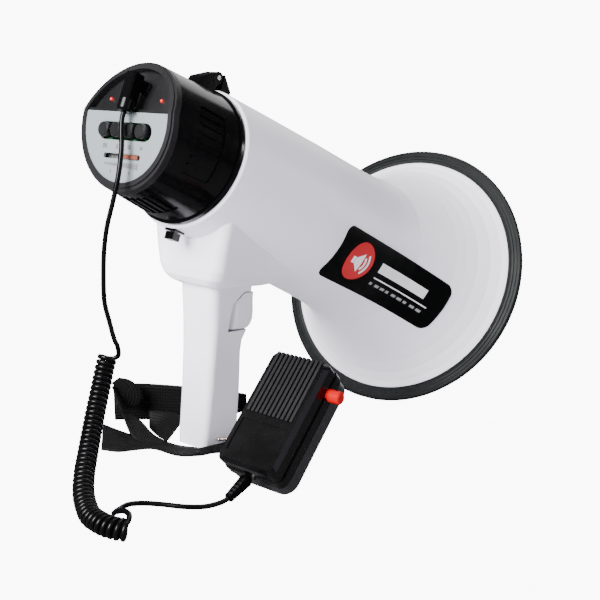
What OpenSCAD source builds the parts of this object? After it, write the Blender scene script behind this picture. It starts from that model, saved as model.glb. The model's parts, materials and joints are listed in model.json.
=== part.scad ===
/* [Horn] */
// Outer radius of the rubber rim
rim_r = 115; // [113:0.5:117]
// Wall thickness of the horn shell
wall = 2.6; // [2.2:0.1:3]
// Nose-down angle at which the horn stands on its handle and rim
tilt = 17; // [16.8:0.1:17.2]

/* [Rear cover] */
// Outer radius of the cover's front flange
flange_r = 45; // [44.5:0.1:45.5]
// Height of the ridge between the two sloping rear faces
ridge_z = 6.4; // [6:0.1:7]
// Slope of the lower rear face, which carries the controls
low_tilt = 12.5; // [12:0.1:13]
// Slope of the upper rear face, which carries the socket
up_tilt = 8.5; // [8:0.1:9]
// Diameter of the round push buttons
button_d = 8.6; // [8:0.1:8.8]
// Travel of the push buttons
button_travel = 2; // [1.5:0.1:2]

/* [Handle] */
// Width of the grip at its top
grip_w = 32.4; // [31.6:0.2:33]
// Width of the grip at its foot
foot_w = 24.8; // [24:0.2:25.6]
// Wall thickness of the two handle halves
grip_wall = 2.5; // [2.2:0.1:2.8]
// Diameter of the wire in the strap bail
bail_d = 2.4; // [2.2:0.1:2.6]

/* [Microphone] */
// Width of the microphone case
mic_w = 46; // [45:0.5:47]
// Length of the microphone case
mic_l = 80; // [79:0.5:81]
// Depth of the microphone case
mic_t = 30; // [29.5:0.5:30.5]
// Angle at which the microphone leans from upright
mic_lean = 39; // [38:0.5:40]
// Number of ridges on the microphone grille
ridges = 11; // [10:1:12]

/* [Cord] */
// Diameter of the cable
cable_d = 3; // [2.8:0.1:3.2]
// Outer diameter of the curly part
coil_d = 12; // [11.6:0.1:12.4]

/* [View] */
// Sub-part to draw

/* [Hidden] */

rim_x = 350;
axis_x = -94;
axis_h = rim_x * sin(tilt) + rim_r * cos(tilt);
low_k = tan(low_tilt);
up_k = tan(up_tilt);
face_r = 34.7;
hinge_x = 60.2;
hinge_z = 54.4;
button_y = [15.2, 4.8, -5.6, -16];
button_z = -4.9;
pivot_x = 6.5;
pivot_z = 107;
bail_x = -3;
bail_z = 6;
mic_x = -63.5;
mic_y = -85.5;
ptt_z = 64;
ptt_x = 14.5;

// outer profile of the white shell, from the cover end to the edge inside the rubber rim
shell_x = [59.8, 61, 80, 100, 130, 160, 190, 220, 240, 255, 270, 280, 290, 300, 310, 320, 330, 340,
  346.5, 349.6];
shell_r = [45.8, 46.6, 47.8, 49.1, 50.9, 52.8, 54.2, 55.7, 57, 58.7, 61.3, 64.2, 67.3, 70.8, 74.6, 79.2,
  84.6, 91.6, 98.3, 103.5];

// centre lines of the free stretches of cord, standing frame
drop_route = [[-97.1, -4, 217.4], [-98.3, -4, 213.5], [-99.5, -5.5, 206], [-100.5, -7.5, 196],
  [-102.5, -8.5, 181], [-104, -7, 166], [-105, -4.5, 152], [-104.5, -2.5, 139], [-103.5, -1.8, 125],
  [-101.5, -1.8, 107], [-99, -3.5, 95], [-96.5, -6, 84], [-95, -8, 75]];
coil_route = [[-97.5, -3.5, 73.5], [-101, -5, 66], [-106, -8.5, 57], [-113, -13.5, 46], [-121, -20, 35.5],
  [-130, -28, 26], [-139, -36.5, 18], [-147, -46, 11.5], [-153, -55.5, 7.8], [-157.5, -64, 6.6],
  [-160, -71.5, 6.5], [-159.5, -78, 6.5], [-156, -82.5, 6.5], [-151, -84, 6.5]];
tail_route = [[-153, -79, 8], [-147, -71, 6.5], [-140, -63, 4], [-132, -57.5, 2], [-122, -55, 1.8],
  [-114, -59.5, 1.8], [-107, -68, 1.8], [-101, -77, 1.8], [-92, -84.5, 1.8], [-82, -87.5, 2.5],
  [-76, -88.2, 3.9]];

module in_horn() translate([axis_x, 0, axis_h]) rotate([0, tilt, 0]) children();
module in_mic() translate([mic_x, mic_y, mic_t * sin(mic_lean)]) rotate([0, mic_lean, 0]) children();
module turned(points, steps = 96) rotate([0, 90, 0]) rotate_extrude($fn = steps) polygon(points);
module across(points, half) translate([0, half, 0]) rotate([90, 0, 0]) linear_extrude(2 * half) polygon(points);
module along(points, from, len) translate([from, 0, 0]) rotate([90, 0, 90]) linear_extrude(len) polygon(points);
module rod_y(x, z, r, y0, y1, steps = 32)
  translate([x, y0, z]) rotate([-90, 0, 0]) cylinder(r = r, h = y1 - y0, $fn = steps);

function last(v) = v[len(v) - 1];
function arc(cx, cy, r, a0, a1, n) = [for (i = [0:n]) let (a = a0 + (a1 - a0) * i / n)
  [cx + r * cos(a), cy + r * sin(a)]];
function round_rect(w, l, r, n = 6) = concat(
  arc(w / 2 - r, l / 2 - r, r, 0, 90, n), arc(r - w / 2, l / 2 - r, r, 90, 180, n),
  arc(r - w / 2, r - l / 2, r, 180, 270, n), arc(w / 2 - r, r - l / 2, r, 270, 360, n));
function face_x(z) = z < ridge_z ? (ridge_z - z) * low_k : (z - ridge_z) * up_k;

function unit(v) = v / norm(v);
function heading(p, i) = unit(p[min(i + 1, len(p) - 1)] - p[max(i - 1, 0)]);
function side(t) = unit(cross(abs(t[2]) > 0.9 ? [1, 0, 0] : [0, 0, 1], t));
function carried(t, s) = unit(s - (s * t) * t);
function frames(p, i = 0, s = undef, out = []) = i == len(p) ? out :
  let (t = heading(p, i), n = s == undef ? side(t) : carried(t, s))
  frames(p, i + 1, n, concat(out, [[p[i], n, cross(t, n)]]));
function ring(f, r, k) = [for (j = [0:k - 1]) f[0] + r * (cos(360 * j / k) * f[1] + sin(360 * j / k) * f[2])];
function smooth(p, n) = concat([for (i = [0:len(p) - 2], j = [0:n - 1])
  let (a = p[max(i - 1, 0)], b = p[i], c = p[i + 1], d = p[min(i + 2, len(p) - 1)], u = j / n)
  0.5 * (2 * b + (c - a) * u + (2 * a - 5 * b + 4 * c - d) * u ^ 2 + (3 * b - a - 3 * c + d) * u ^ 3)],
  [last(p)]);
// closed skin through rings of k points each
module skin(rings, k) {
  n = len(rings);
  quads = [for (i = [0:n - 2], j = [0:k - 1])
    [i * k + j, (i + 1) * k + j, (i + 1) * k + (j + 1) % k, i * k + (j + 1) % k]];
  first = [for (j = [0:k - 1]) j];
  final = [for (j = [k - 1:-1:0]) (n - 1) * k + j];
  polyhedron([for (r = rings) each r], concat([first], quads, [final]));
}
module swept(route, r, k) skin([for (f = frames(route)) ring(f, r, k)], k);
// level sections [height, rear, front, half width, corner radius], drawn in by i
function section(s, z, i) = [for (p = round_rect(s[2] - s[1] - 2 * i, 2 * (s[3] - i), s[4] - 0.5 * i))
  [(s[1] + s[2]) / 2 + p[0], p[1], z]];
module stacked(s, i = 0, low = 0, high = 0) skin([for (k = [0:len(s) - 1])
  let (end = k == 0 ? low : k == len(s) - 1 ? high : 0) section(s[k], s[k][0] + end, i)], 28);

// ---- horn

function shell_outer(lo, hi) = [for (i = [lo:hi]) [shell_r[i], shell_x[i]]];
function shell_inner(lo, hi) = [for (i = [hi:-1:lo]) [shell_r[i] - wall, shell_x[i]]];
module shell_section() polygon(concat(shell_outer(0, 19), shell_inner(0, 19)));
module shell_solid() turned(concat([[0, shell_x[0]]], shell_outer(0, 19), [[0, shell_x[19]]]));

module horn_shell() color("whitesmoke") in_horn() rotate([0, 90, 0]) rotate_extrude($fn = 96) shell_section();

module rim_section() {
  lip = rim_r;
  back = rim_x - 1;
  difference() {
    polygon([[103.5, back - 0.2], [107, back - 1.2], [111, back - 0.8], [113.6, back - 0.2], [lip, rim_x + 0.6],
      [lip - 0.3, rim_x + 1.5], [lip - 2.1, rim_x + 7], [lip - 4, rim_x + 8.6], [104, rim_x + 9],
      [100.6, rim_x + 7], [100.6, rim_x - 0.4], [103.5, rim_x - 0.4]]);
    for (r = [105.6, 108.4, 111.2]) translate([r, back - 1.6]) square([0.9, 1.6]);
    for (x = [2.6, 5]) translate([lip - 2.1 - x * 0.3, rim_x + x]) square([3, 0.7]);
  }
}
module rim() color("dimgray") in_horn() rotate([0, 90, 0]) rotate_extrude($fn = 96) rim_section();

// a thin curved film lying on the shell's right flank
module label_plate() color("black") in_horn() intersection() {
  turned(concat([for (i = [5:15]) [shell_r[i] + 0.5, shell_x[i]]],
    [for (i = [15:-1:5]) [shell_r[i], shell_x[i]]]));
  translate([245.5, 0, 0]) rotate([115, 0, 0]) linear_extrude(120) polygon(round_rect(137, 43.5, 7));
}

module bulkhead() color("gainsboro") in_horn() turned([[14, 205], [52, 205], [52, 209], [14, 209]]);
module throat() color("gainsboro") in_horn()
  turned([[11.5, 209], [14.5, 209], [16, 230], [22, 262], [20, 262], [14, 230]]);
module reflector() color("gainsboro") in_horn()
  turned([[0, 322], [20, 320], [34, 312], [41, 298], [43, 280], [43, 266], [41, 266], [41, 280], [38.5, 296],
    [31, 307], [18, 312], [8, 308], [0, 296]]);
module reflector_struts() color("gainsboro") in_horn() for (a = [90, 210, 330])
  rotate([a, 0, 0]) translate([264, -1.5, 21.2]) cube([10, 3, 19.6]);
module driver_magnet() color("dimgray") in_horn() turned([[0, 174], [30, 174], [30, 188], [0, 188]], 64);
module driver_plate() color("silver") in_horn() turned([[0, 188], [36, 188], [36, 193], [0, 193]], 64);
module driver_dome() color("silver") in_horn() {
  turned([[0, 199.5], [8, 198.5], [15, 195], [17, 193], [0, 193]], 64);
  turned([[26, 193], [36, 193], [36, 205], [26, 205]], 64);
}

module battery_holder() color("black") in_horn() {
  for (x = [63, 114.2, 165.4]) translate([x, 0, 0]) rotate([0, 90, 0]) cylinder(r = 33, h = 1.6, $fn = 64);
  translate([64, -4, -4]) cube([102, 8, 8]);
}
module battery_cells() color("goldenrod") in_horn() for (x = [65.2, 116.4], a = [45:90:315])
  rotate([a, 0, 0]) translate([x, 0, 19.2]) rotate([0, 90, 0]) {
    translate([0, 0, 1.6]) cylinder(r = 13, h = 46, $fn = 32);
    cylinder(r = 3.2, h = 1.6, $fn = 24);
  }
module battery_contacts() color("silver") in_horn() for (x = [64.6, 115.8], a = [45:90:315])
  rotate([a, 0, 0]) translate([x, -4, 15.2]) cube([0.5, 8, 8]);

// ---- handle

// sections of the saddle, the grip and the trigger: height, rear, front, half width, corner radius
saddle_levels = [[112, -23, 30, 18, 7], [114.2, -28, 44, 22, 8], [118, -31, 50, 25.5, 8],
  [124, -32.6, 56, 28, 8], [138, -33, 60, 30.5, 6.5], [150, -33, 60, 32.4, 6], [160, -33, 60, 34.5, 6],
  [176, -33, 60, 37, 6]];
grip_levels = [[0, -14.8, 18.6, 12.6, 3.8], [8, -15.3, 19.4, 13.2, 4.2],
  [40, -15.5, 17.8, 14, 4.6], [66, -16.6, 15.2, 14.7, 5], [74, -17, 15.6, 15, 5], [81, -17.6, 19.6, 15.3, 5.4],
  [94, -19, 20.4, 15.7, 5.6], [112.6, -21.5, 20.8, 16.2, 5.8]];
trigger_levels = [[82.2, -0.2, 20.6, 14.6, 5.4], [84.6, 0, 23.8, 15, 5.6], [88.5, 0.2, 25.4, 15.2, 5.8],
  [94, 0.4, 25.2, 15.4, 5.8], [101, 0.6, 24, 15.5, 5.8], [107.2, 0.8, 23.6, 15.6, 5.8]];
// half widths follow the two driving widths, the foot's at the floor and the grip's at the saddle
function widened(levels) = [for (s = levels) let (k = s[0] / 112)
  [s[0], s[1], s[2], s[3] + (1 - k) * (foot_w - 24.8) / 2 + k * (grip_w - 32.4) / 2, s[4]]];
module saddle(i) stacked(saddle_levels, i, 0.8 * i, 0);
module grip(i, low, high) stacked(widened(grip_levels), i, low, high);
module trigger_notch() {
  across([[-3.2, 81], [-0.8, 100.2], [10.2, 108.2], [40, 108.2], [40, 81]], 20);
  across([[-3.2, 81], [-1.2, 112.4], [40, 112.4], [40, 81]], 9);
}
screw_at = [[-24, 133.5], [22, 118.4], [-15.4, 105], [-9, 60], [-8, 16], [12, 16]];
module handle_solid() difference() {
  union() {
    difference() {
      union() {
        saddle(0);
        grip(0, 0, 0);
      }
      saddle(grip_wall);
      grip(grip_wall, grip_wall, 4);
    }
    intersection() {
      for (p = screw_at) rod_y(p[0], p[1], 3.6, -40, 40, 24);
      union() {
        saddle(0.2);
        grip(0.2, 0, 0);
      }
    }
    translate([-7, -9, 2]) cube([10, 18, 7.5]);
    translate([2.4, -14.8, 102.4]) cube([8, 5.6, 9.8]);
    translate([2.4, 9.2, 102.4]) cube([8, 5.6, 9.8]);
  }
  in_horn() shell_solid();
  trigger_notch();
  rod_y(pivot_x, pivot_z, 1.5, -12.6, 12.6, 24);
  rod_y(bail_x, bail_z, bail_d / 2 + 0.05, -20, 20, 24);
}
module screw_holes() for (p = screw_at) {
  rod_y(p[0], p[1], 1.25, -7, 9, 24);
  rod_y(p[0], p[1], 2.9, 7, 40, 24);
}
module handle_right() color("whitesmoke") difference() {
  handle_solid();
  translate([-100, 0, -5]) cube([200, 100, 220]);
  screw_holes();
}
module handle_left() color("white") difference() {
  handle_solid();
  translate([-100, -100, -5]) cube([200, 100, 220]);
  screw_holes();
}
module handle_screws() color("silver") for (p = screw_at) difference() {
  union() {
    rod_y(p[0], p[1], 1.25, -6.8, 7, 24);
    rod_y(p[0], p[1], 2.8, 7, 8.8, 24);
  }
  translate([p[0] - 2, 8, p[1] - 0.3]) cube([4, 1.2, 0.6]);
  translate([p[0] - 0.3, 8, p[1] - 2]) cube([0.6, 1.2, 4]);
}

module trigger() color("white") difference() {
  union() {
    intersection() {
      stacked(widened(trigger_levels));
      across([[-0.3, 82], [0.9, 99.4], [11.2, 107.1], [40, 107.1], [40, 82]], 20);
    }
    across([[1.4, 98], [1, 109.4], [3, 111.2], [12, 111], [14, 107], [14, 98]], 8.6);
  }
  rod_y(pivot_x, pivot_z, 1.55, -20, 20, 24);
  translate([-2, -5, 85]) cube([21.5, 10, 15.4]);
}
module trigger_pin() color("silver") rod_y(pivot_x, pivot_z, 1.5, -12.6, 12.6, 24);
module trigger_switch() color("black") {
  translate([-12.4, -3.2, 84]) cube([7.6, 6.4, 15.4]);
  translate([-5, -2, 88]) cube([0.6, 4, 10]);
}

// wire bow that the strap is sewn to, lying forward of the foot
module strap_bail() color("silver") {
  r = bail_d / 2;
  half = 15;
  leg = norm([30.5, bail_z - r - 0.05]);
  drop = asin((bail_z - r - 0.05) / leg);
  end_x = bail_x + leg * cos(drop);
  end_z = bail_z - leg * sin(drop);
  rod_y(bail_x, bail_z, r, -half, half, 24);
  rod_y(end_x, end_z, r, -half, half, 24);
  for (y = [-half, half]) {
    translate([bail_x, y, bail_z]) rotate([0, 90 + drop, 0]) cylinder(r = r, h = leg, $fn = 24);
    translate([bail_x, y, bail_z]) sphere(r = r, $fn = 24);
    translate([end_x, y, end_z]) sphere(r = r, $fn = 24);
  }
}

// ---- cover hinge and release

module hinge_lug() color("black") in_horn() difference() {
  union() {
    across(concat(arc(hinge_x, hinge_z, 3.7, 90, 235, 8), [[61.4, 44], [74, 44], [74.2, 50.6],
      [65.2, 58.4]]), 2.8);
    across([[65.2, 44], [74, 44], [74.2, 50.6], [65.2, 58.4]], 5.4);
  }
  shell_solid();
  rod_y(hinge_x, hinge_z, 1.5, -20, 20, 24);
}
module hinge_pin() color("silver") in_horn() rod_y(hinge_x, hinge_z, 1.5, -5.9, 5.9, 24);
module hinge_arm() color("black") in_horn() difference() {
  across(concat([[45, 41], [58.6, 41], [60, 47.6]], arc(hinge_x, hinge_z, 4, -60, 75, 8),
    [[59, 58], [46.4, 49.8], [45, 47.4]]), 5.4);
  across([[55.6, 30], [55.6, 70], [70, 70], [70, 30]], 3.2);
  drum();
  rod_y(hinge_x, hinge_z, 1.55, -20, 20, 24);
}
module release_base() color("black") in_horn() difference() {
  translate([61.4, -4.6, -48.2]) cube([9, 9.2, 6]);
  shell_solid();
}
module cover_release() color("black") in_horn() difference() {
  translate([61.9, -3.6, -53.6]) cube([6.4, 7.2, 5.1]);
  for (x = [63.2, 64.9, 66.6]) translate([x, -4, -54.1]) cube([0.8, 8, 1]);
}

// ---- rear cover

module beyond(d) translate([d, 0, 0]) across([[0, ridge_z], [70 * low_k, ridge_z - 70], [100, ridge_z - 70],
  [100, ridge_z + 60], [60 * up_k, ridge_z + 60]], 60);
module drum() turned([[0, -4], [flange_r - 6.6, -4], [flange_r - 1.4, 56], [flange_r - 0.3, 56],
  [flange_r, 56.3], [flange_r, 59], [flange_r - 0.3, 59.3], [0, 59.3]]);
module drum_hollow() turned([[0, -5], [flange_r - 9.1, -5], [flange_r - 3.9, 56.4], [flange_r - 3, 60],
  [0, 60]]);
// directions of the three ribbed grip pockets round the drum
pad_at = [-180, -90, 0];
// one grip pocket, centred on the given angle, with its far corners clipped
module pocket(a) rotate([a, 0, 0]) intersection() {
  turned([[flange_r - 5.7, 16], [60, 16], [60, 43], [flange_r - 3.4, 43]]);
  translate([29.5, 0, 0]) rotate([-90, 0, 0]) translate([0, 0, 20]) linear_extrude(40)
    polygon([[-13.6, -6], [-7, -20.5], [13.6, -20.5], [13.6, 20.5], [-7, 20.5], [-13.6, 6]]);
}
module cap() color([0.04, 0.04, 0.04]) in_horn() difference() {
  intersection() {
    drum();
    beyond(5);
  }
  drum_hollow();
  for (a = pad_at) pocket(a);
}
module grip_ribs() color([0.08, 0.08, 0.08]) in_horn() for (a = pad_at, j = [-3:3])
  intersection() {
    drum();
    rotate([a + j * 7.4, 0, 0]) translate([23, 25, -0.8]) cube([19, 30, 1.6]);
    turned([[flange_r - 5.65, 16], [60, 16], [60, 43], [flange_r - 3.35, 43]]);
  }
module face_ring() color([0.2, 0.2, 0.2]) in_horn() difference() {
  intersection() {
    drum();
    beyond(0);
  }
  beyond(5);
  turned([[0, -10], [face_r, -10], [face_r, 40], [0, 40]]);
  translate([-0.01, 0, 0]) difference() {
    beyond(-1);
    beyond(1);
    turned([[0, -10], [face_r + 2.9, -10], [face_r + 2.9, 40], [0, 40]]);
  }
}
module face_disc(d0, d1) difference() {
  intersection() {
    turned([[0, -10], [face_r, -10], [face_r, 60], [0, 60]]);
    beyond(d0);
  }
  beyond(d1);
}
module upper_panel() color([0.05, 0.05, 0.05]) in_horn() difference() {
  union() {
    intersection() {
      face_disc(4.4, 6.2);
      translate([-10, -50, ridge_z + 0.2]) cube([80, 100, 60]);
    }
    intersection() {
      face_disc(1.2, 4.6);
      translate([-10, -50, ridge_z + 0.2]) cube([80, 100, 1.4]);
    }
  }
  for (y = [-21.4, 21.4]) translate([0, y, 15.2]) rotate([0, 90, 0]) cylinder(r = 1.05, h = 20, $fn = 24);
  translate([0, -4, 23]) rotate([0, 90, 0]) cylinder(r = 4.2, h = 20, $fn = 32);
}
// out of the lower face at height z, local +Z pointing out
module out_of_low(y, z) translate([face_x(z), y, z]) rotate([0, -90 - low_tilt, 0]) children();
module control_plate() color("silver") in_horn() difference() {
  intersection() {
    face_disc(0.8, 2.4);
    translate([-10, -50, -60]) cube([80, 100, ridge_z + 60 - 0.4]);
  }
  out_of_low(-0.4, -5.2) translate([0, 0, -6]) linear_extrude(12) polygon(round_rect(10.6, 44.4, 5.2));
  out_of_low(0, -19.6) translate([0, 0, -6]) linear_extrude(12) polygon(round_rect(3, 31, 1.2));
}
module plate_marks() color("dimgray") in_horn() intersection() {
  face_disc(0.5, 0.8);
  union() {
    along([[14, -23.6], [-14.4, -23], [-14.4, -26.4], [14, -24.4]], -10, 60);
    for (y = [16.4, 14.2, 4.8]) translate([-10, y - 0.6, -15.2]) cube([60, 1.2, 2.6]);
    translate([-10, 15.2, -14]) rotate([0, 90, 0]) cylinder(r = 0.5, h = 60, $fn = 16);
    translate([-10, -5.6, -13.9]) rotate([0, 90, 0]) cylinder(r = 1.3, h = 60, $fn = 24);
    along([[-14.9, -12.6], [-14.9, -15.2], [-17.3, -13.9]], -10, 60);
    for (y = [-8, 0, 8]) translate([-10, y - 0.4, -29.2]) cube([60, 0.8, 1.4]);
  }
}
module push_button(i) color([0.1, 0.1, 0.1]) in_horn() out_of_low(button_y[i], button_z) {
  translate([0, 0, -3.4]) cylinder(r = button_d / 2, h = 5.8, $fn = 48);
  translate([0, 0, 2.4]) cylinder(r1 = button_d / 2, r2 = button_d / 2 - 0.7, h = 0.6, $fn = 48);
}
module button_1() push_button(0);
module button_2() push_button(1);
module button_3() push_button(2);
module button_4() push_button(3);
module switch_blocks() color("dimgray") in_horn() for (y = button_y)
  out_of_low(y, button_z) translate([-4, -4, -9.2]) cube([8, 8, 9.2 - 3.4 - button_travel - 0.4]);
module control_board() color("green") in_horn() intersection() {
  out_of_low(0, -14) translate([-60, -60, -10.8]) cube([120, 120, 1.6]);
  turned([[0, 2], [33, 2], [33, 40], [0, 40]]);
  translate([0, -50, -60]) cube([60, 100, 64]);
}
module volume_pot() color("silver") in_horn() out_of_low(0, -19.6)
  translate([-3.2, -18, -9.2]) cube([6.4, 36, 4.2]);
module volume_knob() color([0.35, 0.12, 0.08]) in_horn() out_of_low(-8, -19.6) {
  translate([-1.2, -6.6, -3.2]) cube([2.4, 13.2, 3.6]);
  translate([-0.8, -1.5, -4.6]) cube([1.6, 3, 1.6]);
}
module status_leds() color("red") in_horn() for (y = [-21.4, 21.4]) translate([0, y, 15.2]) rotate([0, 90, 0]) {
  translate([0, 0, 5]) cylinder(r = 1, h = 4, $fn = 24);
  translate([0, 0, 5]) sphere(r = 1, $fn = 24);
}
module jack() color("black") in_horn() translate([0, -4, 23]) rotate([0, 90, 0]) difference() {
  union() {
    translate([0, 0, 4.6]) cylinder(r = 4.1, h = 15, $fn = 32);
    translate([0, 0, 10.1]) cylinder(r = 6.2, h = 9.5, $fn = 32);
  }
  translate([0, 0, 4]) cylinder(r = 1.85, h = 13.5, $fn = 24);
}
module plug() color([0.06, 0.06, 0.06]) in_horn() {
  difference() {
    union() {
      translate([-8.4, -7.9, 9]) cube([8, 7.8, 18.4]);
      translate([-4.5, -4, 4]) cylinder(r1 = 4, r2 = 4.8, h = 1.4, $fn = 32);
      translate([-4.5, -4, 5.4]) cylinder(r = 4.8, h = 5.6, $fn = 32);
      translate([-0.6, -4, 23]) rotate([0, 90, 0]) cylinder(r = 3.6, h = 4.9, $fn = 32);
      translate([4.3, -4, 23]) rotate([0, 90, 0]) cylinder(r = 1.75, h = 12.5, $fn = 24);
    }
    for (y = [-7.9, -0.1]) translate([-8.4, y, 22]) rotate([0, 0, 45]) cube([1.6, 1.6, 40], center = true);
  }
}

// ---- microphone

module case_block(w, l, r, x0, x1) translate([x0, 0, l / 2]) rotate([90, 0, 90]) linear_extrude(x1 - x0)
  polygon(round_rect(w, l, r));
// places of the four screws in the microphone's back, local +Z pointing out
module at_mic_screws(x) for (y = [-15, 15], z = [14, mic_l - 14])
  translate([x, y, z]) rotate([0, 90, 0]) children();
module mic_front() color([0.05, 0.05, 0.05]) in_mic() difference() {
  union() {
    hull() {
      translate([0, 0, 3]) case_block(mic_w - 6, mic_l - 6, 4, 0, 1);
      translate([0, 0, 1]) case_block(mic_w - 2, mic_l - 2, 4, 3, 18);
    }
    translate([12, 0, 0]) case_block(mic_w, mic_l, 6, 0, 6);
  }
  translate([2.4, 0, 4]) case_block(mic_w - 8, mic_l - 8, 3, 0, 20);
  translate([-1, -17.5, 35]) cube([6, 35, 60]);
  translate([-1, -17, 8]) cube([2, 34, 22]);
  rod_y(ptt_x, ptt_z, 4.15, -40, 0, 32);
  translate([12.5, 0, -1]) rotate([0, -22, 0]) translate([0, 0, -8]) cylinder(r = 4.1, h = 14, $fn = 32);
}
module mic_grille() color([0.1, 0.1, 0.1]) in_mic() {
  pitch = 34.6 / (ridges - 0.4);
  translate([1.6, -17.3, 35.2]) cube([1.4, 34.6, mic_l - 37.2]);
  for (i = [0:ridges - 1]) translate([-0.6, -17.3 + i * pitch, 35.2]) cube([2.4, pitch * 0.6, mic_l - 37.2]);
}
module mic_rear() color([0.12, 0.12, 0.12]) in_mic() difference() {
  union() {
    case_block(mic_w, mic_l, 9, 18.5, mic_t - 2);
    translate([0, 0, 1.5]) case_block(mic_w - 3, mic_l - 3, 8, mic_t - 2, mic_t);
  }
  translate([17, 0, 2.5]) case_block(mic_w - 5, mic_l - 5, 7, 0, mic_t - 19.5);
  rod_y(ptt_x, ptt_z, 4.15, -40, 0, 32);
  at_mic_screws(mic_t - 4) cylinder(r = 2.2, h = 5, $fn = 24);
}
module mic_screws() color("silver") in_mic() at_mic_screws(mic_t - 2.5) difference() {
  cylinder(r = 2.1, h = 1.6, $fn = 24);
  translate([-1.6, -0.3, 0.9]) cube([3.2, 0.6, 1]);
}
module mic_capsule() color("silver") in_mic() translate([4, 0, 56]) rotate([0, 90, 0])
  cylinder(r = 9, h = 6, $fn = 48);
module mic_switch() color("dimgray") in_mic() translate([ptt_x - 4, -15.2, ptt_z - 6]) cube([8, 8, 12]);
module ptt_button() color("red") in_mic() {
  rod_y(ptt_x, ptt_z, 4.05, -mic_w / 2 - 7.6, -18.6, 48);
  translate([ptt_x, -mic_w / 2 - 7.6, ptt_z]) rotate([90, 0, 0])
    cylinder(r1 = 4.05, r2 = 3.3, h = 0.7, $fn = 48);
}
module mic_boot() color([0.05, 0.05, 0.05]) translate(last(tail_route)) rotate([0, 0, 7]) rotate([0, 70.5, 0]) {
  cylinder(r1 = 2.2, r2 = 3.3, h = 20, $fn = 32);
  for (i = [0:5]) translate([0, 0, 0.8 + i * 3.1]) cylinder(r = 3 + i * 0.22, h = 1.7, $fn = 32);
}

// ---- cord

module cord_drop() color([0.03, 0.03, 0.03]) swept(smooth(drop_route, 2), cable_d / 2, 8);
module cord_coil() color([0.03, 0.03, 0.03]) swept(smooth(coil_route, 2), coil_d / 2, 12);
module cord_tail() color([0.03, 0.03, 0.03]) swept(smooth(tail_route, 2), cable_d / 2, 8);

// ---- strap, as plain solids

module strap_band() color([0.05, 0.05, 0.05]) translate([-24, 69, 0]) rotate([0, 0, -42]) cube([92, 5, 30]);
module strap_cross() color([0.05, 0.05, 0.05]) linear_extrude(4)
  polygon([[-62, 64], [-32, 74], [-26, 60], [-32, 16], [-52, 14], [-58, 40]]);
module strap_ribbon() color([0.05, 0.05, 0.05]) linear_extrude(3)
  polygon([[-58, 13], [-30, 13], [-24, -8], [-17.6, -17], [24, -17.8], [24, -34], [-18, -36], [-40, -28],
    [-52, -10]]);

horn_shell();
rim();
label_plate();
bulkhead();
throat();
reflector();
reflector_struts();
driver_magnet();
driver_plate();
driver_dome();
battery_holder();
battery_cells();
battery_contacts();
handle_right();
handle_left();
handle_screws();
trigger();
trigger_pin();
trigger_switch();
strap_bail();
hinge_lug();
hinge_pin();
release_base();
cover_release();
cap();
face_ring();
grip_ribs();
hinge_arm();
upper_panel();
control_plate();
plate_marks();
button_1();
button_2();
button_3();
button_4();
switch_blocks();
control_board();
volume_pot();
volume_knob();
status_leds();
jack();
plug();
cord_drop();
cord_coil();
cord_tail();
mic_boot();
mic_front();
mic_rear();
mic_grille();
mic_capsule();
mic_switch();
mic_screws();
ptt_button();
strap_band();
strap_cross();
strap_ribbon();
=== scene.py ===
import json
import math

import bpy
import numpy as np
from mathutils import Matrix, Vector
from mathutils.bvhtree import BVHTree


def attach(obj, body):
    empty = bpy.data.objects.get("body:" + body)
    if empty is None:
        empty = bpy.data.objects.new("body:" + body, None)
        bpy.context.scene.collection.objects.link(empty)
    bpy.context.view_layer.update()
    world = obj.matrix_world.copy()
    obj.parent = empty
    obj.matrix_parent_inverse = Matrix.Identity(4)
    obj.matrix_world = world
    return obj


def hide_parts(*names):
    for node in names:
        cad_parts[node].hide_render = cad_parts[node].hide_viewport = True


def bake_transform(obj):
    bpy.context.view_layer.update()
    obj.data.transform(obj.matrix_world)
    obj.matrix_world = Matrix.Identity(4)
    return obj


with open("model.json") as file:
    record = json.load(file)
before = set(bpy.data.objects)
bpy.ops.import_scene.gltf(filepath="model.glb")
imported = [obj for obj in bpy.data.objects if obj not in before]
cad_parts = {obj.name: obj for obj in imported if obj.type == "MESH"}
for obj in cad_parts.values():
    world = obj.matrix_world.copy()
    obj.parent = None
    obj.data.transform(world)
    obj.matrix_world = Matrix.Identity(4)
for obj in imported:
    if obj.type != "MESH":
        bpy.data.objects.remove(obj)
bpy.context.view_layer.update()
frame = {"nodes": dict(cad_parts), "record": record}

MM = 0.001
TILT = math.radians(17)
SIN, COS = math.sin(TILT), math.cos(TILT)
AXIS_X = -94 * MM
AXIS_H = (350 * SIN + 115 * COS) * MM


def from_horn(x, y, z):
    """A point given in millimetres along the horn's axis, in the row frame in metres."""
    x, y, z = x * MM, y * MM, z * MM
    return Vector((COS * x + SIN * z + AXIS_X, y, -SIN * x + COS * z + AXIS_H))


# ---------------------------------------------------------------- camera, floor and light

def make_camera():
    data = bpy.data.cameras.new("camera")
    data.lens, data.sensor_width = 54, 36
    data.clip_start, data.clip_end = 0.01, 20
    cam = bpy.data.objects.new("camera", data)
    bpy.context.scene.collection.objects.link(cam)
    right = Vector((0.59764, -0.79660, 0.09089))
    up = Vector((0.06268, 0.15944, 0.98522))
    back = right.cross(up).normalized()
    up = back.cross(right).normalized()
    right.normalize()
    m = Matrix((right, up, back)).transposed().to_4x4()
    m.translation = Vector((-0.45792, -0.40453, 0.19505))
    cam.matrix_world = m
    bpy.context.scene.camera = cam
    return cam


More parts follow.
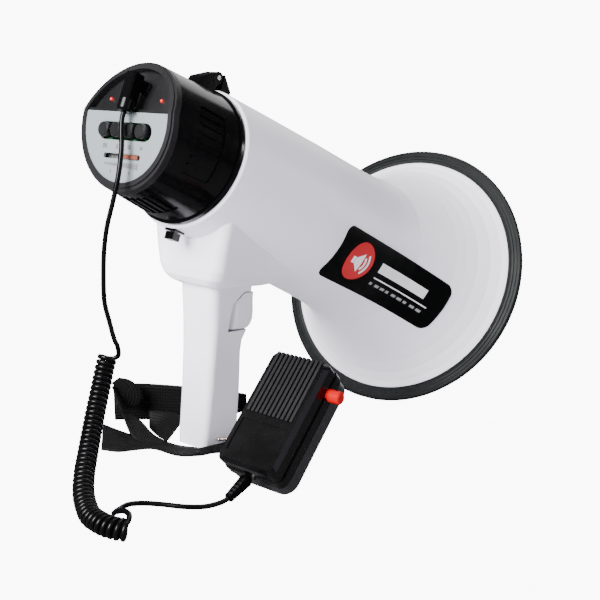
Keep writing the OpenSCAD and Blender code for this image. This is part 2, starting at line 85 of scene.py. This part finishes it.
def area_light(name, at, look, size, watts, colour=(1, 1, 1)):
    data = bpy.data.lights.new(name, "AREA")
    data.shape, data.size, data.size_y = "RECTANGLE", size[0], size[1]
    data.energy, data.color = watts, colour
    lamp = bpy.data.objects.new(name, data)
    lamp.location = at
    lamp.rotation_mode = "QUATERNION"
    lamp.rotation_quaternion = (Vector(look) - Vector(at)).to_track_quat("-Z", "Y")
    bpy.context.scene.collection.objects.link(lamp)
    return lamp


SEEN_WHITE = 10.0


def make_stage():
    """A pale floor and sky that the lens sees as one even white, and that a gloss sees as much dimmer."""
    bpy.ops.mesh.primitive_plane_add(size=8, location=(0, 0, 0))
    floor = bpy.context.object
    floor.name = "floor"
    mat = bpy.data.materials.new("floor_white")
    mat.use_nodes = True
    nodes, links = mat.node_tree.nodes, mat.node_tree.links
    nodes.clear()
    out = nodes.new("ShaderNodeOutputMaterial")
    path = nodes.new("ShaderNodeLightPath")
    pale = nodes.new("ShaderNodeBsdfDiffuse")
    pale.inputs["Color"].default_value = (0.80, 0.80, 0.83, 1)
    dim = nodes.new("ShaderNodeBsdfDiffuse")
    dim.inputs["Color"].default_value = (0.09, 0.09, 0.095, 1)
    glow = nodes.new("ShaderNodeEmission")
    glow.inputs["Strength"].default_value = SEEN_WHITE
    first = nodes.new("ShaderNodeMixShader")
    links.new(path.outputs["Is Glossy Ray"], first.inputs[0])
    links.new(pale.outputs[0], first.inputs[1])
    links.new(dim.outputs[0], first.inputs[2])
    last = nodes.new("ShaderNodeMixShader")
    links.new(path.outputs["Is Camera Ray"], last.inputs[0])
    links.new(first.outputs[0], last.inputs[1])
    links.new(glow.outputs[0], last.inputs[2])
    links.new(last.outputs[0], out.inputs["Surface"])
    floor.data.materials.append(mat)
    world = bpy.data.worlds.new("studio")
    bpy.context.scene.world = world
    world.use_nodes = True
    nodes, links = world.node_tree.nodes, world.node_tree.links
    nodes.clear()
    out = nodes.new("ShaderNodeOutputWorld")
    base = nodes.new("ShaderNodeBackground")
    base.inputs["Color"].default_value = (0.93, 0.93, 1, 1)
    base.inputs["Strength"].default_value = 0.07
    seen = nodes.new("ShaderNodeBackground")
    seen.inputs["Color"].default_value = (1, 1, 1, 1)
    seen.inputs["Strength"].default_value = SEEN_WHITE
    path = nodes.new("ShaderNodeLightPath")
    mix = nodes.new("ShaderNodeMixShader")
    links.new(path.outputs["Is Camera Ray"], mix.inputs[0])
    links.new(base.outputs[0], mix.inputs[1])
    links.new(seen.outputs[0], mix.inputs[2])
    links.new(mix.outputs[0], out.inputs["Surface"])


make_camera()
make_stage()
area_light("rear_key", (-1.40, 0.05, 0.75), (0.0, 0, 0.15), (0.8, 0.8), 118)
area_light("side_fill", (0.15, -1.50, 0.50), (0.05, 0, 0.12), (1.2, 0.8), 4.5, (0.88, 0.85, 1))
area_light("top_soft", (0.35, 0.10, 1.30), (0.05, 0, 0.15), (1.2, 1.0), 17)
area_light("far_soft", (1.05, 0.50, 0.80), (0.0, 0, 0.20), (0.7, 0.6), 2)
area_light("edge_strip", (1.20, -0.80, 0.36), (-0.06, 0, 0.20), (0.10, 0.55), 2.4)


# ---------------------------------------------------------------- materials

def new_material(name):
    mat = bpy.data.materials.new(name)
    mat.use_nodes = True
    nodes, links = mat.node_tree.nodes, mat.node_tree.links
    nodes.clear()
    out = nodes.new("ShaderNodeOutputMaterial")
    bsdf = nodes.new("ShaderNodeBsdfPrincipled")
    links.new(bsdf.outputs[0], out.inputs["Surface"])
    where = nodes.new("ShaderNodeTexCoord")
    return mat, nodes, links, bsdf, where.outputs["Object"]


def noise(nodes, links, where, scale, detail=3.0, rough=0.55, stretch=None):
    source = where
    if stretch:
        turn = nodes.new("ShaderNodeMapping")
        turn.inputs["Scale"].default_value = stretch
        links.new(where, turn.inputs["Vector"])
        source = turn.outputs["Vector"]
    n = nodes.new("ShaderNodeTexNoise")
    n.inputs["Scale"].default_value = scale
    n.inputs["Detail"].default_value = detail
    n.inputs["Roughness"].default_value = rough
    links.new(source, n.inputs["Vector"])
    return n.outputs["Fac"]


def ranged(nodes, links, value, lo, hi, from_lo=0.3, from_hi=0.7):
    r = nodes.new("ShaderNodeMapRange")
    r.inputs["From Min"].default_value, r.inputs["From Max"].default_value = from_lo, from_hi
    r.inputs["To Min"].default_value, r.inputs["To Max"].default_value = lo, hi
    links.new(value, r.inputs["Value"])
    return r.outputs["Result"]


def two_tone(nodes, links, value, a, b, lo=0.35, hi=0.65):
    ramp = nodes.new("ShaderNodeValToRGB")
    ramp.color_ramp.elements[0].position, ramp.color_ramp.elements[1].position = lo, hi
    ramp.color_ramp.elements[0].color = (*a, 1)
    ramp.color_ramp.elements[1].color = (*b, 1)
    links.new(value, ramp.inputs["Fac"])
    return ramp.outputs["Color"]


def bumps(nodes, links, bsdf, layers):
    """layers: (height socket, distance in metres, strength), the finest last."""
    before = None
    for height, distance, strength in layers:
        b = nodes.new("ShaderNodeBump")
        b.inputs["Distance"].default_value = distance
        b.inputs["Strength"].default_value = strength
        links.new(height, b.inputs["Height"])
        if before is not None:
            links.new(before, b.inputs["Normal"])
        before = b.outputs["Normal"]
    links.new(before, bsdf.inputs["Normal"])


def moulded(name, colour, rough, spread=0.08, shade=0.12, grain=900, grain_mm=0.02, coat=0.0,
            coat_rough=0.1, ior=1.5, wave_mm=0.05, dust=None):
    """Moulded plastic or rubber: uneven gloss, a fine grain, slow waviness and a little dust."""
    mat, nodes, links, bsdf, where = new_material(name)
    broad = noise(nodes, links, where, 26, 4)
    fine = noise(nodes, links, where, grain, 2)
    slow = noise(nodes, links, where, 60, 2)
    dark = tuple(c * (1 - shade) for c in colour)
    base = two_tone(nodes, links, broad, dark, colour)
    if dust:
        mix = nodes.new("ShaderNodeMix")
        mix.data_type = "RGBA"
        specks = noise(nodes, links, where, 210, 6, 0.7)
        links.new(ranged(nodes, links, specks, 0, dust[0], 0.52, 0.75), mix.inputs["Factor"])
        links.new(base, mix.inputs["A"])
        mix.inputs["B"].default_value = (*dust[1], 1)
        base = mix.outputs["Result"]
    links.new(base, bsdf.inputs["Base Color"])
    links.new(ranged(nodes, links, broad, rough - spread, rough + spread), bsdf.inputs["Roughness"])
    bsdf.inputs["IOR"].default_value = ior
    bsdf.inputs["Coat Weight"].default_value = coat
    bsdf.inputs["Coat Roughness"].default_value = coat_rough
    bumps(nodes, links, bsdf, [(slow, wave_mm * MM, 0.3), (fine, grain_mm * MM, 0.35)])
    return mat


def metal(name, colour, rough, brushed=(1, 1, 1), scale=700):
    mat, nodes, links, bsdf, where = new_material(name)
    lines = noise(nodes, links, where, scale, 3, 0.6, brushed)
    broad = noise(nodes, links, where, 40, 3)
    dark = tuple(c * 0.86 for c in colour)
    links.new(two_tone(nodes, links, broad, dark, colour), bsdf.inputs["Base Color"])
    links.new(ranged(nodes, links, lines, rough - 0.07, rough + 0.1), bsdf.inputs["Roughness"])
    bsdf.inputs["Metallic"].default_value = 1.0
    bumps(nodes, links, bsdf, [(lines, 0.012 * MM, 0.4)])
    return mat


WHITE = moulded("white_shell", (0.735, 0.72, 0.785), 0.38, 0.06, 0.02, 1100, 0.012,
                coat=0.12, coat_rough=0.25, dust=(0.06, (0.66, 0.65, 0.68)))
INNER = moulded("inner_plastic", (0.77, 0.77, 0.79), 0.5, 0.05, 0.04, 900, 0.02)
RUBBER = moulded("rim_rubber", (0.0045, 0.0055, 0.0058), 0.55, 0.08, 0.25, 1300, 0.05, ior=1.24,
                 dust=(0.20, (0.028, 0.029, 0.030)))
LABEL = moulded("label_film", (0.0006, 0.0006, 0.0007), 0.34, 0.04, 0.2, 1500, 0.006, ior=1.2)
GLOSS = moulded("black_gloss", (0.0012, 0.0012, 0.0014), 0.15, 0.05, 0.2, 1200, 0.006, ior=1.36,
                dust=(0.03, (0.03, 0.03, 0.03)))
SATIN = moulded("grey_satin", (0.0085, 0.008, 0.009), 0.40, 0.07, 0.15, 1500, 0.03, ior=1.28,
                dust=(0.12, (0.02, 0.02, 0.02)))
MIC_REAR = moulded("mic_grey", (0.017, 0.0165, 0.018), 0.36, 0.07, 0.15, 1500, 0.02, ior=1.32,
                   dust=(0.12, (0.03, 0.03, 0.03)))
MIC = moulded("mic_black", (0.0015, 0.0014, 0.0016), 0.26, 0.06, 0.15, 1500, 0.02, ior=1.30,
              dust=(0.08, (0.012, 0.012, 0.012)))
MATTE = moulded("black_matte", (0.006, 0.006, 0.0065), 0.32, 0.08, 0.2, 1400, 0.03, ior=1.45)
CABLE = moulded("cable_rubber", (0.0015, 0.0015, 0.0017), 0.26, 0.06, 0.25, 1600, 0.012, ior=1.21,
                dust=(0.10, (0.006, 0.006, 0.006)))
PLATE = moulded("plate_silver", (0.150, 0.172, 0.180), 0.40, 0.05, 0.03, 1600, 0.01)
MARK = moulded("mark_grey", (0.10, 0.10, 0.11), 0.5, 0.05, 0.1, 1500, 0.01)
BROWN = moulded("brown_plastic", (0.13, 0.035, 0.022), 0.4, 0.08, 0.2, 1300, 0.02)
BOARD = moulded("board_green", (0.02, 0.13, 0.05), 0.35, 0.08, 0.2, 1300, 0.02)
WRAP = moulded("cell_wrap", (0.50, 0.33, 0.07), 0.28, 0.06, 0.15, 1300, 0.01)
FERRITE = moulded("ferrite", (0.10, 0.10, 0.10), 0.6, 0.1, 0.2, 700, 0.05)
RED = moulded("button_red", (0.34, 0.0, 0.001), 0.28, 0.05, 0.10, 1500, 0.008, ior=1.22)
PRINT_RED = moulded("print_red", (0.45, 0.001, 0.006), 0.35, 0.05, 0.10, 1500, 0.004)
PRINT_PALE = moulded("print_pale", (0.66, 0.66, 0.68), 0.40, 0.05, 0.06, 1500, 0.004)
PRINT_GREY = moulded("print_grey", (0.22, 0.22, 0.23), 0.40, 0.05, 0.08, 1500, 0.004)
STEEL = metal("steel", (0.62, 0.62, 0.63), 0.28)
WIRE = metal("bail_wire", (0.72, 0.60, 0.52), 0.2)


def led_material():
    mat, nodes, links, bsdf, where = new_material("led_red")
    glow = noise(nodes, links, where, 900, 2)
    links.new(two_tone(nodes, links, glow, (0.35, 0.0, 0.002), (0.6, 0.01, 0.01)),
              bsdf.inputs["Base Color"])
    links.new(ranged(nodes, links, glow, 0.12, 0.22), bsdf.inputs["Roughness"])
    bsdf.inputs["Emission Color"].default_value = (1, 0.05, 0.03, 1)
    bsdf.inputs["Emission Strength"].default_value = 0.5
    return mat


def webbing_material():
    """Woven strap: rows of raised yarns from the strip's own across and along lengths, in millimetres."""
    mat, nodes, links, bsdf, where = new_material("webbing")
    coords = nodes.new("ShaderNodeUVMap")
    coords.uv_map = "strip"
    split = nodes.new("ShaderNodeSeparateXYZ")
    links.new(coords.outputs["UV"], split.inputs["Vector"])

    def wave(source, pitch, shift=None):
        scaled = nodes.new("ShaderNodeMath")
        scaled.operation = "MULTIPLY"
        scaled.inputs[1].default_value = 2 * math.pi / pitch
        links.new(source, scaled.inputs[0])
        value = scaled.outputs[0]
        if shift is not None:
            moved = nodes.new("ShaderNodeMath")
            links.new(value, moved.inputs[0])
            links.new(shift, moved.inputs[1])
            value = moved.outputs[0]
        sine = nodes.new("ShaderNodeMath")
        sine.operation = "SINE"
        links.new(value, sine.inputs[0])
        return sine.outputs[0]

    across = wave(split.outputs["X"], 2.2)
    bend = nodes.new("ShaderNodeMath")
    bend.operation = "MULTIPLY"
    bend.inputs[1].default_value = 1.5
    links.new(across, bend.inputs[0])
    along = wave(split.outputs["Y"], 1.7, bend.outputs[0])
    both = nodes.new("ShaderNodeMath")
    links.new(across, both.inputs[0])
    links.new(along, both.inputs[1])
    height = ranged(nodes, links, both.outputs[0], 0, 1, -1.6, 1.6)
    # The colour follows the yarn height: the low gaps between the yarns are painted shade, darker than the
    # yarn tops.
    links.new(two_tone(nodes, links, height, (0.0003, 0.0003, 0.0004), (0.0034, 0.0032, 0.0034), 0.45, 0.9),
              bsdf.inputs["Base Color"])
    fuzz = noise(nodes, links, where, 2600, 2)
    links.new(ranged(nodes, links, fuzz, 0.5, 0.75), bsdf.inputs["Roughness"])
    bsdf.inputs["IOR"].default_value = 1.2
    bumps(nodes, links, bsdf, [(height, 0.35 * MM, 0.7), (fuzz, 0.05 * MM, 0.4)])
    return mat


WEBBING = webbing_material()
LED = led_material()

BY_SLOT = {
    "white_shell": WHITE,
    "inner_plastic": INNER,
    "rim_rubber": RUBBER,
    "label_film": LABEL,
    "black_gloss": GLOSS,
    "grey_satin": SATIN,
    "black_matte": MATTE,
    "cable_rubber": CABLE,
    "plate_silver": PLATE,
    "mark_grey": MARK,
    "brown_plastic": BROWN,
    "board_green": BOARD,
    "steel": STEEL,
    "bail_wire": WIRE,
    "ferrite": FERRITE,
    "cell_wrap": WRAP,
    "led_red": LED,
    "button_red": RED,
    "webbing": WEBBING,
}


def dress(obj, mat):
    obj.data.materials.clear()
    obj.data.materials.append(mat)


slots = {s["node"]: s["material_slot"] for s in frame["record"]["subparts"]}
for name, obj in frame["nodes"].items():
    if slots[name] in BY_SLOT:
        dress(obj, BY_SLOT[slots[name]])
dress(frame["nodes"]["mic_front"], MIC)
dress(frame["nodes"]["mic_rear"], MIC_REAR)


# ---------------------------------------------------------------- mesh helpers

def mesh_object(name, verts, faces, mat, smooth=True):
    mesh = bpy.data.meshes.new(name)
    mesh.from_pydata([tuple(v) for v in verts], [], faces)
    mesh.update()
    mesh.polygons.foreach_set("use_smooth", [smooth] * len(mesh.polygons))
    obj = bpy.data.objects.new(name, mesh)
    bpy.context.scene.collection.objects.link(obj)
    obj.data.materials.append(mat)
    return obj


def catmull(points, per):
    """A smooth line through the points, with per steps to each stretch."""
    p = [np.array(q, float) for q in points]
    out = []
    for i in range(len(p) - 1):
        a, b, c, d = p[max(i - 1, 0)], p[i], p[i + 1], p[min(i + 2, len(p) - 1)]
        for j in range(per):
            u = j / per
            out.append(0.5 * (2 * b + (c - a) * u + (2 * a - 5 * b + 4 * c - d) * u * u
                              + (3 * b - a - 3 * c + d) * u ** 3))
    out.append(p[-1])
    return np.array(out)


def resample(line, step):
    seg = np.linalg.norm(np.diff(line, axis=0), axis=1)
    s = np.r_[0, np.cumsum(seg)]
    t = np.linspace(0, s[-1], max(2, int(round(s[-1] / step)) + 1))
    return np.c_[[np.interp(t, s, line[:, k]) for k in range(3)]].T


def carried_frames(line, first):
    """A direction square to the line at each point, carried along without twist."""
    tang = np.gradient(line, axis=0)
    tang /= np.linalg.norm(tang, axis=1)[:, None]
    n = np.array(first, float)
    normals = []
    for t in tang:
        n = n - (n @ t) * t
        n /= np.linalg.norm(n)
        normals.append(n.copy())
    normals = np.array(normals)
    return tang, normals, np.cross(tang, normals)


def tube(name, line, radius, sides, mat):
    _, n, b = carried_frames(line, (0.3, 0.9, 0.1))
    angle = np.linspace(0, 2 * math.pi, sides, endpoint=False)
    rings = line[:, None, :] + radius * (np.cos(angle)[None, :, None] * n[:, None, :]
                                         + np.sin(angle)[None, :, None] * b[:, None, :])
    count = len(line)
    verts = rings.reshape(-1, 3)
    faces = []
    for i in range(count - 1):
        here, there = i * sides, (i + 1) * sides
        for j in range(sides):
            k = (j + 1) % sides
            faces.append((here + j, here + k, there + k, there + j))
    faces.append(tuple(range(sides - 1, -1, -1)))
    faces.append(tuple((count - 1) * sides + j for j in range(sides)))
    return mesh_object(name, verts, faces, mat)


# ---------------------------------------------------------------- cord

CABLE_D, COIL_D = 3.0, 12.0
STEPS_PER_TURN = 20
TURN_PITCH = CABLE_D * 1.06
LEAD_STEPS = 4                      # first steps of the helix, left out where the drop runs in
LEAD_IN = [(4.4, 2.6), (1.8, 0.3)]  # run-in points: distance back along the helix's start, and rise
# Points on the cord's way, in millimetres: from the plug down, along the coil's axis, and to the microphone.
# Most are numbers that a separate measuring script printed, then rounded and moved by hand. They are fixed
# values and don't follow the frame.
DROP = [(-97.1, -4, 217.4), (-98.3, -4, 213.5), (-99.5, -5.5, 206), (-100.5, -7.5, 196),
        (-102.5, -8.5, 181), (-104, -7, 166), (-105, -4.5, 152), (-104.5, -2.5, 139), (-103.5, -1.8, 125),
        (-101.5, -1.8, 107), (-98.6, -3.8, 95), (-96.6, -6.8, 84.5), (-95.2, -8.6, 80)]
COIL = [(-97.5, -3.5, 73.5), (-101, -5, 66), (-106, -8.5, 57), (-113, -13.5, 46), (-121, -20, 35.5),
        (-130, -28, 26), (-139, -36.5, 18), (-147, -46, 11.5), (-152.5, -55.5, 7.8), (-156, -63, 6.6),
        (-157.5, -70, 6.5), (-158, -77, 6.5), (-156.5, -84, 6.5), (-154, -88.5, 6.5)]
TAIL = [(-150.8, -86.0, 11.7), (-148.2, -82.6, 12.0), (-146.6, -77, 11.4), (-145.2, -70, 8.2),
        (-140, -63, 4), (-132, -57.5, 2), (-122, -55, 1.8), (-114, -59.5, 1.8),
        (-107, -68, 1.8), (-101, -77, 1.8), (-92, -84.5, 1.8), (-82, -87.5, 2.5), (-76, -88.2, 3.9)]


def make_cord():
    """The cord's centreline in metres: a hanging drop, a close helix about the coil's axis, and a tail."""
    axis = resample(catmull(COIL, 10), 0.25)
    seg = np.linalg.norm(np.diff(axis, axis=0), axis=1)
    run = np.r_[0, np.cumsum(seg)]
    rc = (COIL_D - CABLE_D) / 2
    _, n, b = carried_frames(axis, (0.6, -0.7, 0.2))
    upward = math.atan2(-b[-1][2], n[-1][2]) / (2 * math.pi)
    turns = math.floor(run[-1] / TURN_PITCH) - 1 + upward % 1
    steps = int(turns * STEPS_PER_TURN)
    s = np.linspace(0, run[-1], steps + 1)

    def at(values):
        return np.c_[[np.interp(s, run, values[:, k]) for k in range(3)]].T

    c, nn, bb = at(axis), at(n), at(b)
    phase = 2 * math.pi * turns * s / run[-1]
    helix = c + rc * (np.cos(phase)[:, None] * nn - np.sin(phase)[:, None] * bb)
    helix = helix[LEAD_STEPS:]
    lead = (helix[0] - helix[1]) / np.linalg.norm(helix[0] - helix[1])
    run_in = [tuple(helix[0] + back * lead + np.array((0, 0, rise))) for back, rise in LEAD_IN]
    drop = catmull(DROP + run_in + [tuple(helix[0])], 4)[:-1]
    tail = catmull([tuple(helix[-1])] + TAIL, 4)[1:]
    line = np.vstack([drop, helix, tail])
    return line * MM


cord_line = make_cord()
cord = tube("cord", cord_line, CABLE_D / 2 * MM, 10, CABLE)
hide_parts("cord_drop", "cord_coil", "cord_tail")
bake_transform(cord)


# ---------------------------------------------------------------- strap

STRAP_THICK = 1.4


def strip_mesh(low, high, columns=10, per=8, thick=STRAP_THICK):
    """A closed woven strip between two edge lines, and its mean width and length, in millimetres."""
    a, b = catmull(low, per), catmull(high, per)
    rows = len(a)
    share = np.linspace(0, 1, columns + 1)
    mid = a[:, None, :] * (1 - share)[None, :, None] + b[:, None, :] * share[None, :, None]
    down = np.gradient(mid, axis=0)
    over = np.gradient(mid, axis=1)
    normal = np.cross(down, over)
    normal /= np.linalg.norm(normal, axis=2)[:, :, None]
    half = thick / 2 * np.sqrt(np.clip(1 - (2 * share - 1) ** 8, 0.08, 1))[None, :, None]
    top, under = mid + normal * half, mid - normal * half
    lowest = min(top[..., 2].min(), under[..., 2].min())
    shift = np.array((0, 0, max(0.0, 0.15 - lowest)))
    verts = np.vstack([(top + shift).reshape(-1, 3), (under + shift).reshape(-1, 3)]) * MM
    wide = columns + 1
    base = rows * wide
    faces = []
    for i in range(rows - 1):
        for j in range(columns):
            p, q = i * wide + j, (i + 1) * wide + j
            faces.append((p, q, q + 1, p + 1))
            faces.append((base + p, base + p + 1, base + q + 1, base + q))
    for i in range(rows - 1):
        p, q = i * wide, (i + 1) * wide
        faces.append((p, base + p, base + q, q))
        faces.append((p + columns, q + columns, base + q + columns, base + p + columns))
    last = (rows - 1) * wide
    for j in range(columns):
        faces.append((j, j + 1, base + j + 1, base + j))
        faces.append((last + j, base + last + j, base + last + j + 1, last + j + 1))
    centre = mid[:, columns // 2]
    run = np.r_[0, np.cumsum(np.linalg.norm(np.diff(centre, axis=0), axis=1))]
    width = np.linalg.norm(b - a, axis=1)
    cells = 0.5 * (width[1:] + width[:-1]) * np.diff(run)
    uv = np.zeros((rows, wide, 2))
    uv[..., 0] = (share[None, :] - 0.5) * width[:, None]
    uv[..., 1] = run[:, None]
    flat = uv.reshape(-1, 2)
    return verts, faces, np.vstack([flat, flat]), float(cells.sum() / run[-1]), float(run[-1])


STRAP_FLOOR = 1.2  # lowest height of a deepened edge


def deepened(low, high, wanted):
    """The high edge moved away from the lens up to the wanted width, and never into the floor."""
    eye = np.array(bpy.context.scene.camera.matrix_world.translation) / MM
    out = []
    for a, b in zip(np.array(low, float), np.array(high, float)):
        away = (b - eye) / np.linalg.norm(b - eye)
        moved = b
        for push in np.linspace(0, wanted, 40):
            tried = b + away * push
            if tried[2] < STRAP_FLOOR or np.linalg.norm(tried - a) > wanted:
                break
            moved = tried
        out.append(tuple(moved))
    return out


def make_strip(name, low, high, nodes):
    verts, faces, uv, width, length = strip_mesh(low, high)
    obj = mesh_object(name, verts, faces, WEBBING)
    layer = obj.data.uv_layers.new(name="strip")
    index = np.zeros(len(obj.data.loops), dtype=np.int32)
    obj.data.loops.foreach_get("vertex_index", index)
    layer.data.foreach_set("uv", uv[index].reshape(-1))
    if nodes:
        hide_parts(*nodes)
    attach(obj, "horn")
    return obj


# The two edges of each strip, in millimetres. Most points are numbers that a separate measuring script
# printed, some of them rounded or moved by hand. They are fixed values and don't follow the frame.
BACK_TOP = [(-25, 70, 30), (-16, 62, 30.5), (-7, 53, 31), (12, 37, 30), (28, 22, 28.5), (42, 9, 27),
            (47, 5, 26)]
BACK_FOOT = [(-23, 68, 3), (-14, 60, 3.5), (-5, 52, 4), (13, 36, 4), (29, 21.5, 7), (43, 9, 11),
             (48, 4, 14)]
CURL_HUB = [(-34, 62, 33), (-32, 60, 31), (-31, 59, 28), (-31, 59, 25), (-31, 59, 21), (-32, 59, 17)]
CURL_RIM = [(-29, 60, 37), (-23, 55, 35.5), (-18, 50, 30), (-16, 48, 24), (-17, 49, 18), (-20, 52, 15)]
CROSS_LOW = [(-37, 58, 32), (-38.5, 45, 17), (-41, 31, 4), (-40, 16, 1.2), (-34, -5, 1.2), (-28, -21, 2.4)]
CROSS_HIGH = [(-33, 56, 32), (-34, 43, 19), (-36, 27, 14), (-36.5, 13, 8), (-35, -4, 6), (-27, -17, 5.5)]
FRONT_LOW = [(-71, 27, 1), (-65, 17, 1), (-54, 13, 1), (-45, 5, 2), (-40, -12, 1), (-28, -21, 1),
             (-16, -23.5, 1), (3, -33, 1), (22, -40, 1), (42, -36, 1), (54, -16, 1), (53, 6, 1),
             (42, 14, 1), (32, 14, 1)]
FRONT_HIGH = [(-52, 48, 10), (-46, 39, 7), (-37, 35, 3), (-30, 24, 1), (-28, 2, 2), (-24, -12, 3),
              (-15, -15.5, 3.5), (3, -16, 3), (20, -17.5, 1.6), (31, -18, 1.2), (37, -16, 1), (38, -14, 1),
              (36, -13.5, 1), (32, -13.5, 1)]
SIDE_LOW = [(-28, 10, 3), (-26, 19, 3), (-21, 30, 2.5), (-16, 39, 2.5)]
SIDE_HIGH = [(-11, 13.5, 13), (-6, 22, 15), (-5, 32, 15), (-13, 44, 14)]
make_strip("strap_back", BACK_TOP, BACK_FOOT, ["strap_band"])
make_strip("strap_diagonal", CROSS_LOW, deepened(CROSS_LOW, CROSS_HIGH, 15), ["strap_cross"])
make_strip("strap_front", FRONT_LOW, FRONT_HIGH, ["strap_ribbon"])
make_strip("strap_curl", CURL_HUB, CURL_RIM, [])
make_strip("strap_side", SIDE_LOW, SIDE_HIGH, [])


# ---------------------------------------------------------------- label print

LABEL_TURN = math.radians(25)


def label_caster():
    """Gives the label's point and outward direction at a length along the horn and a height around it."""
    obj = frame["nodes"]["label_plate"]
    mesh = obj.data
    world = obj.matrix_world
    tree = BVHTree.FromPolygons([world @ v.co for v in mesh.vertices],
                                [tuple(p.vertices) for p in mesh.polygons])
    out = Vector((0, -math.cos(LABEL_TURN), -math.sin(LABEL_TURN)))
    along = Vector((0, math.sin(LABEL_TURN), -math.cos(LABEL_TURN)))
    zero = from_horn(0, 0, 0)

    def turned(v):
        return from_horn(*v) - zero

    def at(x, u):
        start = from_horn(*(Vector((x, 0, 0)) + out * 160 + along * u))
        hit, normal, _, _ = tree.ray_cast(start, -turned(out).normalized())
        if hit is None:
            raise ValueError(f"the print runs off the label at {x:.1f}, {u:.1f}")
        if normal.dot(turned(out)) < 0:
            normal = -normal
        return hit, normal
    return at


on_label = label_caster()


def print_patch(name, place, steps_x, steps_u, mat, lift):
    """A thin printed layer on the label. place(s, t) gives a length along the horn and a height around it."""
    top, under = [], []
    for i in range(steps_x + 1):
        for j in range(steps_u + 1):
            hit, normal = on_label(*place(i / steps_x, j / steps_u))
            top.append(hit + normal * (lift + 0.10) * MM)
            under.append(hit + normal * (lift - 0.10) * MM)
    wide, base = steps_u + 1, len(top)
    faces = []
    for i in range(steps_x):
        for j in range(steps_u):
            p, q = i * wide + j, (i + 1) * wide + j
            faces.append((p, p + 1, q + 1, q))
            faces.append((base + p, base + q, base + q + 1, base + p + 1))
    for i in range(steps_x):
        p, q = i * wide, (i + 1) * wide
        faces.append((p, q, base + q, base + p))
        faces.append((p + steps_u, base + p + steps_u, base + q + steps_u, q + steps_u))
    last = steps_x * wide
    for j in range(steps_u):
        faces.append((j, base + j, base + j + 1, j + 1))
        faces.append((last + j, last + j + 1, base + last + j + 1, base + last + j))
    obj = mesh_object(name, top + under, faces, mat, smooth=False)
    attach(obj, "horn")
    return obj


def box_at(x0, x1, u0, u1):
    return lambda s, t: (x0 + (x1 - x0) * s, u0 + (u1 - u0) * t)


def disc_at(x, u, radius):
    def place(s, t):
        a, b = 2 * s - 1, 2 * t - 1
        return x + radius * a * math.sqrt(1 - b * b / 2), u + radius * b * math.sqrt(1 - a * a / 2)
    return place


def cone_at(x0, x1, u, half0, half1):
    return lambda s, t: (x0 + (x1 - x0) * s, u + (half0 + (half1 - half0) * s) * (2 * t - 1))


def arc_at(x, u, r0, r1, spread):
    def place(s, t):
        angle, r = spread * (2 * t - 1), r0 + (r1 - r0) * s
        return x + r * math.cos(angle), u + r * math.sin(angle)
    return place


EMBLEM_X, EMBLEM_U = 206, -1
FIRST_LAYER, SECOND_LAYER = 0.12, 0.34
print_patch("print_emblem", disc_at(EMBLEM_X, EMBLEM_U, 15.5), 16, 16, PRINT_RED, FIRST_LAYER)
print_patch("print_speaker", cone_at(EMBLEM_X - 6, EMBLEM_X + 2, EMBLEM_U, 2.2, 7.5), 6, 6,
            PRINT_PALE, SECOND_LAYER)
print_patch("print_back", box_at(EMBLEM_X - 9.5, EMBLEM_X - 6.6, EMBLEM_U - 2.6, EMBLEM_U + 2.6), 2, 3,
            PRINT_PALE, SECOND_LAYER)
print_patch("print_wave_1", arc_at(EMBLEM_X - 1, EMBLEM_U, 6.0, 7.8, 0.75), 2, 8, PRINT_PALE, SECOND_LAYER)
print_patch("print_wave_2", arc_at(EMBLEM_X - 1, EMBLEM_U, 10.0, 11.8, 0.75), 2, 8, PRINT_PALE, SECOND_LAYER)

PRINT_START = 232
DASHES, DASH_PITCH = 9, 7.6
print_patch("print_bar", box_at(PRINT_START, 292, -9, -1), 24, 4, PRINT_PALE, FIRST_LAYER)
print_patch("print_line", box_at(PRINT_START, 300, 3.5, 4.5), 26, 1, PRINT_PALE, FIRST_LAYER)
for i in range(DASHES):
    start = PRINT_START + DASH_PITCH * i
    end = start + (5.2 if i % 3 else 3.4)
    print_patch(f"print_dash_{i + 1}", box_at(start, end, 8, 10.2), 3, 1, PRINT_GREY, FIRST_LAYER)
